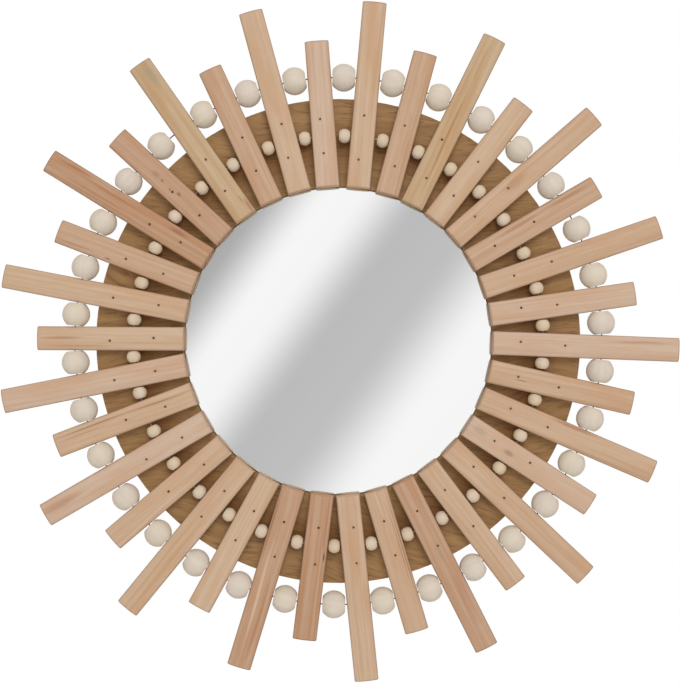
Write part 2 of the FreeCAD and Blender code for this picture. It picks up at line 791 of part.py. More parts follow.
def make_screws():
    """The hangers' screws, drawn once round Z and copied to every strap hole."""
    screw = new_body("hanger_screw")
    profile = new_sketch(screw, "screw_profile", "XZ_Plane")
    head = "Sizes.screw_head_diameter / 2"
    shank = "Sizes.screw_diameter / 2"
    tip = "-Sizes.screw_length"
    crown = "Sizes.screw_head_height"
    corners = [
        ("0", tip),
        (shank, f"{tip} + {shank}"),
        (shank, "0"),
        (head, "0"),
        (head, f"{crown} - Sizes.screw_head_round"),
        (f"{head} - Sizes.screw_head_round", crown),
        ("0", crown),
    ]
    add_outline(profile, corners, arcs={4: "Sizes.screw_head_round"})
    turn_round(screw, "screw_turning", profile)
    places = []
    seat = size("Sizes.strap_thickness - Sizes.hanger_pocket_depth")
    for sign in SIDES.values():
        for drop in SCREW_DROPS:
            across = sign * size("Sizes.hanger_spacing / 2")
            height = size(f"Sizes.hanger_height - {drop}")
            places.append(Placement(Vector(across, seat, height), Rotation(X_AXIS, -90)))
    return copies("hanger_screws", screw, places)


def make_hangers():
    """A strap and a ring for each side, and the screws that hold the straps."""
    pieces = [make_strap(side, sign) for side, sign in SIDES.items()]
    pieces += [make_hang_ring(side, sign) for side, sign in SIDES.items()]
    return pieces + [make_screws()]


def check_model(pieces):
    """Stops if a feature has failed or a piece has no sound solid."""
    for thing in doc.Objects:
        if {"Invalid", "Error"} & set(thing.State):
            raise RuntimeError(f"{thing.Label} failed: {thing.State}")
    for piece in pieces:
        shape = piece.Shape
        if shape.isNull() or not shape.isValid() or not shape.Solids:
            raise RuntimeError(f"{piece.Label} has no sound shape")


def write_parts(pieces):
    """Writes each piece to a file of its own."""
    os.makedirs("parts", exist_ok=True)
    for piece in pieces:
        piece.Shape.exportStep(f"parts/{piece.Label}.step")


pieces = [make_board(), make_glass(), make_pads()]
pieces += make_slats()
pieces += [make_brads()]
pieces += [make_wire(ring) for ring in RINGS]
pieces += make_large_beads()
pieces += [make_small_beads()]
pieces += make_hangers()
doc.recompute()
check_model(pieces)
write_parts(pieces)
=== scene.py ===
"""Looks for the sunburst wall mirror, in metres, in the frame of its solid model.

The mirror faces -Y and +X is to the right. Slats and spaces are counted clockwise from the slat
that points right. Angles round the mirror run clockwise, as its viewer sees them.
"""
import math

import bpy
import numpy as np
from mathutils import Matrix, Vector


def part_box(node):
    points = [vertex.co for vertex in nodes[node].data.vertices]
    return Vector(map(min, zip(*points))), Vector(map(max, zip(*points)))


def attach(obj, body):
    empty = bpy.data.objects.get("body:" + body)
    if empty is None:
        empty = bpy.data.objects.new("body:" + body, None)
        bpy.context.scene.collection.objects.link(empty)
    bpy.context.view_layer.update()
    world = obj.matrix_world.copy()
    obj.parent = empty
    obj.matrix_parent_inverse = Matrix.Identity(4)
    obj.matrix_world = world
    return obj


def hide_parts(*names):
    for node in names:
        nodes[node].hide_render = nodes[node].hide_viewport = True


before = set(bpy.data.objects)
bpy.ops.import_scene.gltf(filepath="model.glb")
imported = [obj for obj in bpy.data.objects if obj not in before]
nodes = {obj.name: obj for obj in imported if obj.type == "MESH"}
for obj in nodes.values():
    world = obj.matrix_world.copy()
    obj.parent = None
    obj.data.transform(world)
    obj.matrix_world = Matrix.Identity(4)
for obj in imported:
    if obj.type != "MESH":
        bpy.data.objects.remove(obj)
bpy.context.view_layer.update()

# Slats: 34 places round the mirror, long ones at even places and short ones at odd
PLACES = 34
PLACE_STEP = math.tau / PLACES
SLAT_TURN_SEARCH = np.radians(np.linspace(-4, 4, 1601))
SLAT_CROWN_RISE = 0.0018
SLAT_FRONT_ROUND = 0.003
SLAT_BACK_ROUND = 0.0008
SLAT_END_EASE = 0.0006
SLAT_ROW_STEP = 0.005
SLAT_TOP_STEP = 0.0012
SLAT_SIDE_STEP = 0.0025
SLAT_BACK_STEPS = 5
TIP_REACH = 0.0014  # how far the darker line at a slat's end reaches
INNER_TIP_STRENGTH = 0.1
OUTER_TIP_STRENGTH = 0.8
USUAL_TILT = 0.015  # the most that the grain of most slats tilts
GRAIN_MIDDLE = 0.25  # distance from the mirror's axis about which a slat's grain tilts
GRAIN_WANDER = 0.006
MARKS_PER_SLAT = 4

# Where painted shade darkens a slat: distances round it from its middle, for the lines along its
# edges, and heights on its inner end, for its contact shadow
EDGE_LINE = (0.0112, 0.0136)
SIDE_FADE = (0.0142, 0.018)
END_SHADE = (-0.007, 0.0015)

# Holes in the slats
WIRE_HEIGHT = 0.0077
WIRE_HOLE_RADIUS = 0.001
WIRE_HOLE_DEPTH = 0.003
BRAD_HOLE_RADIUS = 0.00105
BRAD_HOLE_DEPTH = 0.00245
BRAD_STAIN = 0.12
HOLE_WALL = 0.0002  # how far a hole's wall leans
HOLE_GRID = {"fine": 0.0002, "reach": 0.0014}
SIDE_HOLE_GRID = {"fine": 0.0002, "reach": 0.0012}

# Board and glass: distances from the mirror's axis at which their colour changes
SHADE_BAND_START = (0.176, 0.199)
SHADE_BAND_END = (0.202, 0.232)
SHADE_BAND_SKIN = 0.002  # how far behind the board's front the painted shade band ends
GLASS_LINE = (0.1588, 0.1592)

# Beads
LARGE_BEAD = {"radius": 0.014, "half_width": 0.0117, "rim": 0.0035}
SMALL_BEAD = {"radius": 0.00725, "half_width": 0.00575, "rim": 0.0012}
LARGE_BEAD_COLUMNS = 72
SMALL_BEAD_COLUMNS = 32
BORE_RADIUS = 0.00095

# Wires
WIRE_RADIUS = 0.0006
WIRE_ROWS = 361
WIRE_COLUMNS = 12

# Hanger screws
SCREW_TURNS = (0.3, 2.0, 3.7, 5.4)
SCREW_COLUMNS = 96
SCREW_HEAD_RADIUS = 0.0032
SCREW_HEAD_HEIGHT = 0.0018
SCREW_HEAD_ROUND = 0.001
SCREW_RADIUS = 0.0016
SCREW_LENGTH = 0.007
CROSS_REACH = 0.0017
CROSS_HALF_WIDTH = 0.0003
CROSS_WALL = 0.00025
CROSS_DEPTH = 0.001

# Studio: angles in degrees, and each panel's angle with its brightness on screen
FLOOR_LEVEL = -0.95
FLOOR_MIDDLE = -0.9
FLOOR_RINGS = np.linspace(0.02, 2.4, 25)
FLOOR_COLUMNS = 64
FLOOR_FADE = (0.5, 1.8)
KEY_PLACE = (0.875, -5.0, 3.125)
KEY_SIZE = 3.0
KEY_POWER = 124
TENT_FRONT = {"low": -0.5, "high": 0.2, "start": 0.64, "end": 0.6}
TENT_BEHIND = {"low": 0.5, "high": 0.85, "start": 0, "end": 0.8}
PANEL_SLOPE = 36
PANEL_SPREAD = 120
PANELS = [
    (-40, 206), (-28, 236), (-18, 182), (-8.4, 173), (-5.3, 251), (-4.0, 250),
    (-0.8, 191), (1.8, 194), (5.9, 251), (9, 250), (20, 198), (32, 240), (45, 200),
]
CAMERA_PLACE = (0.0018, -1.078, -0.0005)
CAMERA_LENS = 54.06
CAMERA_SENSOR = 36
CAMERA_CLIP = 0.01


# Small helpers


def srgb(red, green, blue):
    """A colour as it looks on screen, 0 to 255 a channel, as the linear RGBA that shaders take."""
    channels = np.array([red, green, blue]) / 255
    low = channels / 12.92
    high = ((channels + 0.055) / 1.055) ** 2.4
    return (*np.where(channels <= 0.04045, low, high).tolist(), 1.0)


WHITE = srgb(255, 255, 255)


def smooth_step(value, low, high):
    """0 below low and 1 above high, with an S-shaped rise between: 3 t^2 - 2 t^3."""
    t = np.clip((value - low) / (high - low), 0, 1)
    return t * t * (3 - 2 * t)


def box_middle(points):
    """The middle of the box round some points."""
    return (points.min(axis=0) + points.max(axis=0)) / 2


def node_points(name):
    """The vertices of a node of the solid model, one row each."""
    mesh = nodes[name].data
    flat = np.empty(len(mesh.vertices) * 3, np.float32)
    mesh.vertices.foreach_get("co", flat)
    return flat.reshape(-1, 3).astype(float)


def clockwise(points):
    """Each point's clockwise angle from +X round the mirror's axis."""
    return np.arctan2(-points[:, 2], points[:, 0])


def from_axis(points):
    """Each point's distance from the mirror's axis."""
    return np.hypot(points[:, 0], points[:, 2])


def lines(start, end, step, spots, fine, reach):
    """Grid lines from start to end, a step apart, and much closer together round the spots."""
    base = np.linspace(start, end, max(2, math.ceil((end - start) / step) + 1))
    kept = [base[[0, -1]]]
    inner = base[1:-1]
    for spot in spots:
        inner = inner[np.abs(inner - spot) > reach]
        kept.append(np.arange(spot - reach, spot + reach + fine / 2, fine))
    found = np.sort(np.concatenate([*kept, inner]))
    found = found[(found >= start) & (found <= end)]
    apart = np.diff(found, prepend=start - step) > fine / 3
    apart[-1] = True
    return found[apart]


def arc(centre, radius, start, end, count):
    """Points on an arc, from one angle to another."""
    angles = np.linspace(start, end, count)
    return np.stack(
        [centre[0] + radius * np.cos(angles), centre[1] + radius * np.sin(angles)], axis=1
    )


def grid_faces(rows, columns, wrap_rows=False, wrap_columns=False):
    """Four-sided faces over a grid of points, numbered row by row."""
    row = np.arange(rows if wrap_rows else rows - 1)[:, None]
    column = np.arange(columns if wrap_columns else columns - 1)[None, :]
    next_row = (row + 1) % rows
    next_column = (column + 1) % columns
    corners = [
        row * columns + column,
        row * columns + next_column,
        next_row * columns + next_column,
        next_row * columns + column,
    ]
    return np.stack(np.broadcast_arrays(*corners), axis=-1).reshape(-1, 4)


def end_caps(rows, columns):
    """The flat faces that close a tube of points at its first and last row."""
    ring = np.arange(columns)
    return [ring[::-1], (rows - 1) * columns + ring]


def new_piece(name, points, quads, caps=(), corner_uv=None, point_values=None, face_values=None):
    """A smooth mesh object from points, four-sided faces and flat end caps."""
    mesh = bpy.data.meshes.new(name)
    mesh.from_pydata(points.tolist(), [], quads.tolist() + [list(cap) for cap in caps])
    if corner_uv is not None:
        layer = mesh.uv_layers.new(name="surface")
        layer.data.foreach_set("uv", corner_uv.astype(np.float32).ravel())
    for label, values in (point_values or {}).items():
        add_values(mesh, label, values, "POINT")
    for label, values in (face_values or {}).items():
        add_values(mesh, label, values, "FACE")
    mesh.polygons.foreach_set("use_smooth", np.ones(len(mesh.polygons), bool))
    mesh.update()
    piece = bpy.data.objects.new(name, mesh)
    bpy.context.scene.collection.objects.link(piece)
    return piece


def add_values(mesh, label, values, domain):
    """Stores numbers, vectors or colours on a mesh, where its material reads them."""
    values = np.asarray(values, np.float32)
    kind, key = {1: ("FLOAT", "value"), 2: ("FLOAT_VECTOR", "vector")}[values.ndim]
    if values.ndim == 2 and values.shape[1] == 4:
        kind, key = "FLOAT_COLOR", "color"
    attribute = mesh.attributes.new(label, kind, domain)
    attribute.data.foreach_set(key, values.ravel())


def settle(piece, body, slot, material, *replaced):
    """Gives a finished piece its body and its material, and hides the nodes it stands for. The slot
    is not used.
    """
    piece.data.materials.append(material)
    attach(piece, body)
    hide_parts(*replaced)


# Node trees


class NodeTree:
    """A node tree, with short calls for the shader nodes that the scene needs."""

    def __init__(self, tree):
        self.tree = tree

    def add(self, kind, inputs=None, **settings):
        """A node with its settings, its inputs set or linked by name or number."""
        added = self.tree.nodes.new(kind)
        for label, value in settings.items():
            setattr(added, label, value)
        for label, value in (inputs or {}).items():
            self.feed(added.inputs[label], value)
        return added

    def feed(self, socket, value):
        """Links a socket to another node's output, or sets it."""
        if isinstance(value, bpy.types.NodeSocket):
            self.tree.links.new(value, socket)
        else:
            socket.default_value = value

    def maths(self, operation, *values):
        """A sum, product or the like of numbers."""
        inputs = dict(enumerate(values))
        return self.add("ShaderNodeMath", inputs, operation=operation).outputs[0]

    def vector_maths(self, operation, *values, output="Vector"):
        """A sum, product, length or the like of vectors."""
        inputs = dict(enumerate(values))
        return self.add("ShaderNodeVectorMath", inputs, operation=operation).outputs[output]

    def stretch(self, vector, *scale):
        """A vector with each part scaled."""
        return self.vector_maths("MULTIPLY", vector, scale)

    def parts(self, vector):
        """A vector's X, Y and Z."""
        return self.add("ShaderNodeSeparateXYZ", {0: vector}).outputs

    def from_axis(self, place):
        """The distance of a place from the mirror's axis."""
        return self.vector_maths("LENGTH", self.stretch(place, 1, 0, 1), output="Value")

    def noise(self, vector, seed, scale=1.0, detail=2.0, roughness=0.5):
        """Smooth noise from 0 to 1, with another pattern for every seed."""
        inputs = {
            "Vector": vector,
            "W": seed,
            "Scale": scale,
            "Detail": detail,
            "Roughness": roughness,
        }
        return self.add("ShaderNodeTexNoise", inputs, noise_dimensions="4D").outputs["Fac"]

    def between(self, value, low, high, start=0.0, end=1.0):
        """Maps a value smoothly from low..high to start..end."""
        inputs = {0: value, 1: low, 2: high, 3: start, 4: end}
        added = self.add("ShaderNodeMapRange", inputs, interpolation_type="SMOOTHSTEP")
        return added.outputs[0]

    def mix(self, factor, first, second, blend="MIX"):
        """Two colours mixed by a factor."""
        inputs = {0: factor, 6: first, 7: second}
        added = self.add("ShaderNodeMix", inputs, data_type="RGBA", blend_type=blend)
        return added.outputs[2]

    def mix_shaders(self, factor, first, second):
        """Two shaders mixed by a factor."""
        inputs = {0: factor, 1: first.outputs[0], 2: second.outputs[0]}
        return self.add("ShaderNodeMixShader", inputs)

    def ramp(self, factor, stops, interpolation="LINEAR"):
        """A colour read from stops along a line, given as pairs of a place and a colour."""
        added = self.add("ShaderNodeValToRGB", {0: factor})
        band = added.color_ramp
        band.interpolation = interpolation
        while len(band.elements) < len(stops):
            band.elements.new(0.5)
        for element, (place, colour) in zip(band.elements, stops):
            element.position = place
            element.color = colour
        return added.outputs["Color"]

    def value_of(self, label, output="Fac"):
        """A number, vector or colour stored on the mesh."""
        return self.add("ShaderNodeAttribute", attribute_name=label).outputs[output]


class Finish(NodeTree):
    """A new material with its own node tree."""

    def __init__(self, name):
        self.material = bpy.data.materials.new(name)
        self.material.use_nodes = True
        super().__init__(self.material.node_tree)
        self.shader = self.tree.nodes["Principled BSDF"]

    def set(self, **values):
        """Sets or links the shader's own sockets. An underscore stands for a space."""
        for label, value in values.items():
            self.feed(self.shader.inputs[label.replace("_", " ")], value)

    def surface(self):
        """The piece's own UV map, in metres along and across."""
        return self.add("ShaderNodeUVMap", uv_map="surface").outputs[0]

    def place(self):
        """The place in the object's own frame, in metres."""
        return self.add("ShaderNodeTexCoord").outputs["Object"]

    def bump(self, height, distance, strength):
        """A bumped surface, with its height in metres at full strength."""
        inputs = {"Height": height, "Distance": distance, "Strength": strength}
        self.set(Normal=self.add("ShaderNodeBump", inputs).outputs[0])


# The finishes


def raw_wood():
    """Sawn wood with no varnish: soft straight grain and marks of its own. Darker lines along its
    rounded edges and at its ends are painted shade.

    The grain runs along the slat at a slight tilt and wanders a little from side to side.
    """
    finish = Finish("raw_wood")
    seed = finish.value_of("slat_seed")
    tint = finish.value_of("slat_tint", "Color")
    surface = finish.surface()
    parts = finish.parts(surface)
    along = parts["X"]
    across = parts["Y"]
    wander = finish.noise(finish.stretch(surface, 9, 45, 0), seed, detail=1)
    drift = finish.maths("MULTIPLY", finish.maths("SUBTRACT", wander, 0.5), GRAIN_WANDER)
    past = finish.maths("SUBTRACT", GRAIN_MIDDLE, along)
    tilted = finish.maths("MULTIPLY_ADD", past, finish.value_of("grain_tilt"), across)
    drifted = finish.maths("ADD", tilted, drift)
    grain = finish.add("ShaderNodeCombineXYZ", {"X": along, "Y": drifted}).outputs[0]
    rings = finish.noise(finish.stretch(grain, 4, 330, 0), seed, detail=3, roughness=0.55)
    fibres = finish.noise(finish.stretch(grain, 60, 2300, 0), seed)
    clouds = finish.noise(finish.stretch(grain, 11, 75, 0), seed)

    dark = finish.mix(1.0, tint, srgb(232, 218, 204), "MULTIPLY")
    warm = finish.mix(1.0, tint, srgb(250, 236, 222), "MULTIPLY")
    light = finish.mix(0.14, tint, srgb(244, 230, 212))
    colour = finish.mix(finish.between(rings, 0.34, 0.6), light, tint)
    colour = finish.mix(finish.between(rings, 0.54, 0.78, 0, 0.7), colour, dark)
    colour = finish.mix(finish.between(fibres, 0.5, 0.8, 0, 0.5), colour, dark)
    colour = finish.mix(finish.between(clouds, 0.42, 0.72, 0, 0.7), colour, warm)
    for order in range(MARKS_PER_SLAT):
        colour = add_mark(finish, colour, grain, order)

    # Painted shade: the rounded long edges and the eased ends are darkened, standing in for the
    # shade that falls on them.
    painted_edge_shade = finish.mix(1.0, tint, srgb(176, 158, 142), "MULTIPLY")
    edge = finish.maths("ABSOLUTE", across)
    line = finish.between(edge, *EDGE_LINE, 0, 0.75)
    line = finish.maths("MULTIPLY", line, finish.between(edge, *SIDE_FADE, 1, 0.1))
    colour = finish.mix(line, colour, painted_edge_shade)
    colour = finish.mix(finish.value_of("tip"), colour, painted_edge_shade)

    # Painted contact shadow: the inner end is darkened towards its back, where it meets the glass.
    inner_end = finish.value_of("inner_end")
    painted_contact_shadow = finish.between(across, *END_SHADE, 0.22, 0)
    colour = finish.mix(finish.maths("MULTIPLY", inner_end, painted_contact_shadow), colour, srgb(84, 70, 50))
    # Painted shade inside the brad and wire holes, and the faint stain round the brads.
    colour = finish.mix(finish.value_of("hole"), colour, srgb(104, 70, 48))

    height = finish.maths("MULTIPLY_ADD", rings, 0.6, finish.maths("MULTIPLY", fibres, 0.6))
    finish.bump(height, 0.00014, 0.7)
    finish.set(
        Base_Color=colour,
        Roughness=finish.between(fibres, 0.2, 0.8, 0.6, 0.8),
        Specular_IOR_Level=0.25,
    )
    return finish.material


def add_mark(finish, colour, grain, order):
    """One knot, streak or line in the wood: an ellipse along the grain with a soft edge."""
    shade = finish.add("ShaderNodeAttribute", attribute_name=f"mark_{order}_colour").outputs
    middle = finish.value_of(f"mark_{order}_place", "Vector")
    reach = finish.value_of(f"mark_{order}_size", "Vector")
    share = finish.vector_maths("DIVIDE", finish.vector_maths("SUBTRACT", grain, middle), reach)
    far = finish.vector_maths("LENGTH", share, output="Value")
    strength = finish.between(far, 0.2, 1, shade["Alpha"], 0)
    return finish.mix(strength, colour, shade["Color"])


def stained_wood():
    """The board's brown-stained veneer: wavy grain with fine pores.

    A band between the glass and the small beads is darkened, on the front alone: painted shade,
    where the slats and beads crowd the board.
    """
    finish = Finish("stained_wood")
    place = finish.place()
    parts = finish.parts(place)
    wander = finish.noise(finish.stretch(place, 3, 3, 5), 2.0, detail=1)
    level = finish.maths("MULTIPLY_ADD", wander, 0.22, parts["Z"])
    grain = {"X": parts["X"], "Y": parts["Y"], "Z": level}
    grain = finish.add("ShaderNodeCombineXYZ", grain).outputs[0]
    rings = finish.noise(finish.stretch(grain, 5, 5, 170), 5.0, detail=3)
    fibres = finish.noise(finish.stretch(grain, 60, 60, 1500), 7.0)
    pores = finish.noise(finish.stretch(grain, 60, 60, 720), 11.0)
    clouds = finish.noise(place, 9.0, scale=12)
    stops = [
        (0.0, srgb(154, 117, 73)),
        (0.45, srgb(166, 128, 82)),
        (0.7, srgb(172, 134, 88)),
        (1.0, srgb(179, 142, 95)),
    ]
    colour = finish.ramp(finish.between(rings, 0.25, 0.75), stops)
    colour = finish.mix(finish.between(fibres, 0.5, 0.8, 0, 0.3), colour, srgb(130, 95, 56))
    colour = finish.mix(finish.between(clouds, 0.35, 0.7, 0, 0.3), colour, srgb(156, 116, 71))
    colour = finish.mix(finish.between(pores, 0.48, 0.74, 0, 0.7), colour, srgb(114, 83, 48))

    # Painted shade: the front is darkened in a band between the glass and the small beads, where
    # the slats and beads crowd the board.
    away = finish.from_axis(place)
    inner = finish.between(away, *SHADE_BAND_START)
    band = finish.maths("MULTIPLY", inner, finish.between(away, *SHADE_BAND_END, 1, 0))
    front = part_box("backing_board")[0][1]
    near_front = finish.between(parts["Y"], front, front + SHADE_BAND_SKIN, 1, 0)
    band = finish.maths("MULTIPLY", band, near_front)
    painted_board_shade = finish.mix(1.0, colour, srgb(217, 198, 170), "MULTIPLY")
    colour = finish.mix(band, colour, painted_board_shade)
    finish.bump(finish.maths("ADD", rings, fibres), 0.00012, 0.5)
    finish.set(
        Base_Color=colour,
        Roughness=finish.between(rings, 0.2, 0.8, 0.5, 0.68),
        Specular_IOR_Level=0.3,
    )
    return finish.material


def bead_wood(name, pale, warm, shade):
    """Turned, unvarnished bead wood: faint lines along the bore, and each bead's own tone."""
    finish = Finish(name)
    seed = finish.value_of("bead_seed")
    place = finish.value_of("bead_place", "Vector")
    rings = finish.noise(finish.stretch(place, 160, 160, 30), seed)
    fibres = finish.noise(finish.stretch(place, 2400, 2400, 160), seed, detail=1)
    colour = finish.mix(finish.value_of("bead_tone"), pale, warm)
    colour = finish.mix(finish.between(rings, 0.35, 0.75, 0, 0.5), colour, shade)
    colour = finish.mix(finish.between(fibres, 0.5, 0.8, 0, 0.25), colour, shade)
    finish.bump(fibres, 0.00005, 0.5)
    finish.set(
        Base_Color=colour,
        Roughness=finish.between(rings, 0.2, 0.8, 0.6, 0.72),
        Specular_IOR_Level=0.2,
    )
    return finish.material


def silvered_glass():
    """Mirror glass: a clean reflection with a dark, matt line near its edge."""
    finish = Finish("silvered_glass")
    place = finish.place()
    smudge = finish.noise(place, 3.0, scale=14)
    clean = finish.between(smudge, 0.4, 0.8, 0.0, 0.012)
    edge = finish.between(finish.from_axis(place), *GLASS_LINE)
    finish.set(
        Base_Color=finish.mix(edge, srgb(249, 250, 249), srgb(134, 120, 98)),
        Metallic=finish.maths("SUBTRACT", 1.0, edge),
        Roughness=finish.maths("MAXIMUM", clean, finish.maths("MULTIPLY", edge, 0.5)),
    )
    return finish.material


def metal(name, colour, dull, roughness):
    """Plated or plain steel with fine scratches and dull patches."""
    finish = Finish(name)
    place = finish.place()
    patches = finish.noise(place, 1.0, scale=260, detail=3)
    scratches = finish.noise(finish.stretch(place, 3000, 3000, 260), 4.0)
    finish.set(
        Base_Color=finish.mix(finish.between(patches, 0.4, 0.7), colour, dull),
        Metallic=1.0,
        Roughness=finish.between(patches, 0.3, 0.7, roughness, roughness + 0.2),
    )
    finish.bump(scratches, 0.00002, 0.5)
    return finish.material


def foam():
    """The pads' closed-cell foam."""
    finish = Finish("foam_pad")
    cells = finish.noise(finish.place(), 1.0, scale=1400)
    finish.set(
        Base_Color=finish.mix(cells, srgb(226, 224, 218), srgb(196, 194, 188)),
        Roughness=0.9,
    )
    finish.bump(cells, 0.0001, 0.7)
    return finish.material


# The slats


def slat_axes(turn):
    """Unit vectors along a slat, across it anticlockwise, and out of the board."""
    return np.array(
        [
            [math.cos(turn), 0, -math.sin(turn)],
            [math.sin(turn), 0, math.cos(turn)],
            [0, -1, 0],
        ]
    )


def find_slat(points):
    """One slat's axes and the low and high corner of its box: at the turn that is narrowest."""
    middle = points.mean(axis=0)
    turns = math.atan2(-middle[2], middle[0]) + SLAT_TURN_SEARCH
    sides = np.outer(points[:, 0], np.sin(turns)) + np.outer(points[:, 2], np.cos(turns))
    axes = slat_axes(turns[np.argmin(np.ptp(sides, axis=0))])
    placed = points @ axes.T
    return axes, placed.min(axis=0), placed.max(axis=0)


def outline_rounds(width, thickness):
    """Where the slat's front rounds meet its sides and its crown: their centre and their turn.

    The crown is an arc over the whole width. A front round is tangent to it from inside, so its
    centre lies one round's radius nearer the crown's centre, and as far in from the side.
    """
    half = width / 2
    crown = (half**2 + SLAT_CROWN_RISE**2) / (2 * SLAT_CROWN_RISE)
    middle = thickness - crown
    across = half - SLAT_FRONT_ROUND
    up = middle + math.sqrt((crown - SLAT_FRONT_ROUND) ** 2 - across**2)
    return crown, middle, across, up, math.atan2(up - middle, across)


def slat_outline(width, thickness, brad_sides):
    """A slat's section, anticlockwise from the middle of its back, as rows of across and up."""
    half = width / 2
    crown, middle, across, up, meet = outline_rounds(width, thickness)
    inset = half - SLAT_BACK_ROUND
    quarter = math.pi / 2
    back = np.linspace(0, inset, SLAT_BACK_STEPS + 1)[:-1]
    side = lines(SLAT_BACK_ROUND, up, SLAT_SIDE_STEP, [WIRE_HEIGHT], **SIDE_HOLE_GRID)[1:-1]
    reach = crown * math.cos(meet)
    top = lines(-reach, reach, SLAT_TOP_STEP, brad_sides, **HOLE_GRID)[::-1]
    parts = [
        np.stack([back, np.zeros_like(back)], axis=1),
        arc((inset, SLAT_BACK_ROUND), SLAT_BACK_ROUND, -quarter, 0, 4),
        np.stack([np.full_like(side, half), side], axis=1),
        arc((across, up), SLAT_FRONT_ROUND, 0, meet, 8)[:-1],
        np.stack([top, middle + np.sqrt(crown**2 - top**2)], axis=1),
        arc((-across, up), SLAT_FRONT_ROUND, math.pi - meet, math.pi, 8)[1:],
        np.stack([np.full_like(side, -half), side[::-1]], axis=1),
        arc((-inset, SLAT_BACK_ROUND), SLAT_BACK_ROUND, math.pi, math.pi + quarter, 4),
        np.stack([-back[:0:-1], np.zeros(len(back) - 1)], axis=1),
    ]
    return np.concatenate(parts)


def outward(outline):
    """Unit vectors out of a closed section, one for each of its points."""
    tangent = np.roll(outline, -1, axis=0) - np.roll(outline, 1, axis=0)
    normal = np.stack([tangent[:, 1], -tangent[:, 0]], axis=1)
    return normal / np.linalg.norm(normal, axis=1)[:, None]


def slat_rows(start, end, spots):
    """The grid lines along a slat, and how far its section is drawn in at each of them.

    At each end the section shrinks by a quarter circle of the easing's radius.
    """
    ease = np.linspace(0, math.pi / 2, 5)[1:]
    near = start + SLAT_END_EASE * (1 - np.sin(ease[::-1]))
    body = lines(start + TIP_REACH, end - TIP_REACH, SLAT_ROW_STEP, spots, **HOLE_GRID)
    far = end - SLAT_END_EASE * (1 - np.sin(ease))
    drawn_in = SLAT_END_EASE * (1 - np.cos(ease))
    inset = np.concatenate([drawn_in[::-1], np.zeros_like(body), drawn_in])
    return np.concatenate([near, body, far]), inset


def sink_brads(along, across, up, thickness, seats):
    """Lowers the crown inside a circle at each brad: the new heights, and how dark to paint them:
    painted shade inside each hole, and a faint stain round it.
    """
    front = up > thickness - SLAT_CROWN_RISE
    shade = np.zeros_like(up)
    for seat in seats:
        away = np.hypot(along - seat[0], across - seat[1])
        inside = front * (1 - smooth_step(away, BRAD_HOLE_RADIUS, BRAD_HOLE_RADIUS + HOLE_WALL))
        up = up - inside * (up - thickness + BRAD_HOLE_DEPTH)
        near = front * (1 - smooth_step(away, BRAD_HOLE_RADIUS, 2 * BRAD_HOLE_RADIUS))
        shade = np.maximum(shade, np.maximum(inside, BRAD_STAIN * near))
    return up, shade


def sink_wires(along, across, up, half, crossings):
    """Draws the sides in inside a circle at each wire: the new sides, and the painted shade inside
    the holes.
    """
    drawn = across
    shade = np.zeros_like(up)
    for place, side in crossings:
        away = np.hypot(along - place, up - WIRE_HEIGHT)
        on_side = np.abs(across - side * half) < HOLE_WALL
        inside = on_side * (1 - smooth_step(away, WIRE_HOLE_RADIUS, WIRE_HOLE_RADIUS + HOLE_WALL))
        drawn = drawn - inside * side * WIRE_HOLE_DEPTH
        shade = np.maximum(shade, inside)
    return drawn, shade


def slat_sheet(outline, out, thickness):
    """The UV of a slat's corners: along it and round it, and across and up on its two ends."""
    step = np.linalg.norm(np.roll(outline, -1, axis=0) - outline, axis=1)
    round_it = np.concatenate([[0], np.cumsum(step)])
    round_it = round_it[-1] / 2 - round_it
    sheet = np.stack(np.meshgrid(out, round_it, indexing="ij"), axis=-1).reshape(-1, 2)
    corners = grid_faces(out.size, round_it.size).ravel()
    end_sheet = outline - [0, thickness / 2]
    return np.concatenate([sheet[corners], end_sheet[::-1], end_sheet])


def make_slat(name, node, box, number, brads, wire_radii, look, material):
    """One slat: its section carried along its length, eased in at both ends, with holes."""
    axes, low, high = box
    width = high[1] - low[1]
    thickness = high[2] - low[2]
    middle = (high[1] + low[1]) / 2
    seats = brads @ axes.T - [0, middle, low[2]]
    crossings = []
    for radius in wire_radii:
        for side in (-1, 1):
            reach = middle + side * width / 2
            crossings.append((math.sqrt(radius**2 - reach**2), side))
    outline = slat_outline(width, thickness, seats[:, 1])
    spots = [*seats[:, 0], *(place for place, _ in crossings)]
    out, inset = slat_rows(low[0], high[0], spots)

    section = outline[None] - inset[:, None, None] * outward(outline)[None]
    rows, columns = section.shape[:2]
    along = np.broadcast_to(out[:, None], (rows, columns))
    across = section[..., 0]
    up, brad_shade = sink_brads(along, across, section[..., 1], thickness, seats)
    across, wire_shade = sink_wires(along, across, up, width / 2, crossings)
    local = np.stack([along, across + middle, up + low[2]], axis=-1)
    points = local.reshape(-1, 3) @ axes
    quads = grid_faces(rows, columns, wrap_columns=True)

    # Painted shade at the slat's ends: a darker line, strong at the outer end and faint at the
    # inner.
    past = np.maximum(low[0] + TIP_REACH - along, along - high[0] + TIP_REACH)
    inner_half = along < (low[0] + high[0]) / 2
    strength = np.where(inner_half, INNER_TIP_STRENGTH, OUTER_TIP_STRENGTH)
    count = rows * columns
    values = {
        "slat_seed": np.full(count, 3.7 * number),
        "slat_tint": np.tile(look["tint"], (count, 1)),
        "grain_tilt": np.full(count, look["tilt"]),
        "hole": np.maximum(brad_shade, wire_shade).ravel(),
        "tip": (strength * smooth_step(past, 0, TIP_REACH)).ravel(),
        **mark_values(look["marks"], look["tilt"], count),
    }
    face_values = {"inner_end": np.append(np.zeros(len(quads)), [1, 0])}
    corner_uv = slat_sheet(outline, out, thickness)
    caps = end_caps(rows, columns)
    piece = new_piece(name, points, quads, caps, corner_uv, values, face_values)
    settle(piece, "mirror_frame", "raw_wood", material, node)


